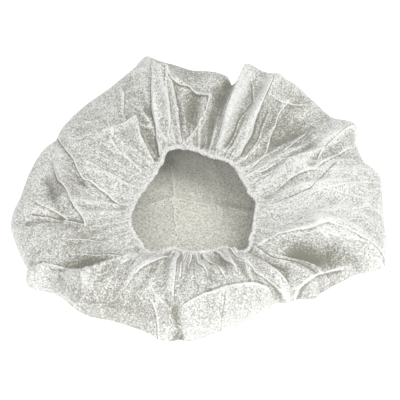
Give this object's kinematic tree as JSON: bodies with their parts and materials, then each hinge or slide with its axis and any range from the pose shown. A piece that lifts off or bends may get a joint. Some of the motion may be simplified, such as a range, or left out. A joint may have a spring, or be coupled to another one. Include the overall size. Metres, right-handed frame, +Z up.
{
  "type": "bouffant cap",
  "caption": "Soft round non-woven hair cover lying on its crown, a puffed ring of thin white cloth gathered onto an elastic round an open mouth.",
  "frame": {"origin": "on the surface it lies on, under the middle of the whole cap", "axes": "+Z up, out of the mouth; +X to the viewer's right; +Y to the back, away from the viewer"},
  "size_m": [0.3182, 0.2878, 0.0717],
  "materials": {
    "cloth": "matt, see-through spunbonded fibre, cloudy, with embossed points",
    "hem_cloth": "the same cloth doubled and gathered, whiter",
    "elastic": "matt white covered elastic"
  },
  "bodies": {
    "root": {"crown": "cloth", "hem": "hem_cloth", "elastic": "elastic"}
  },
  "joints": []
}
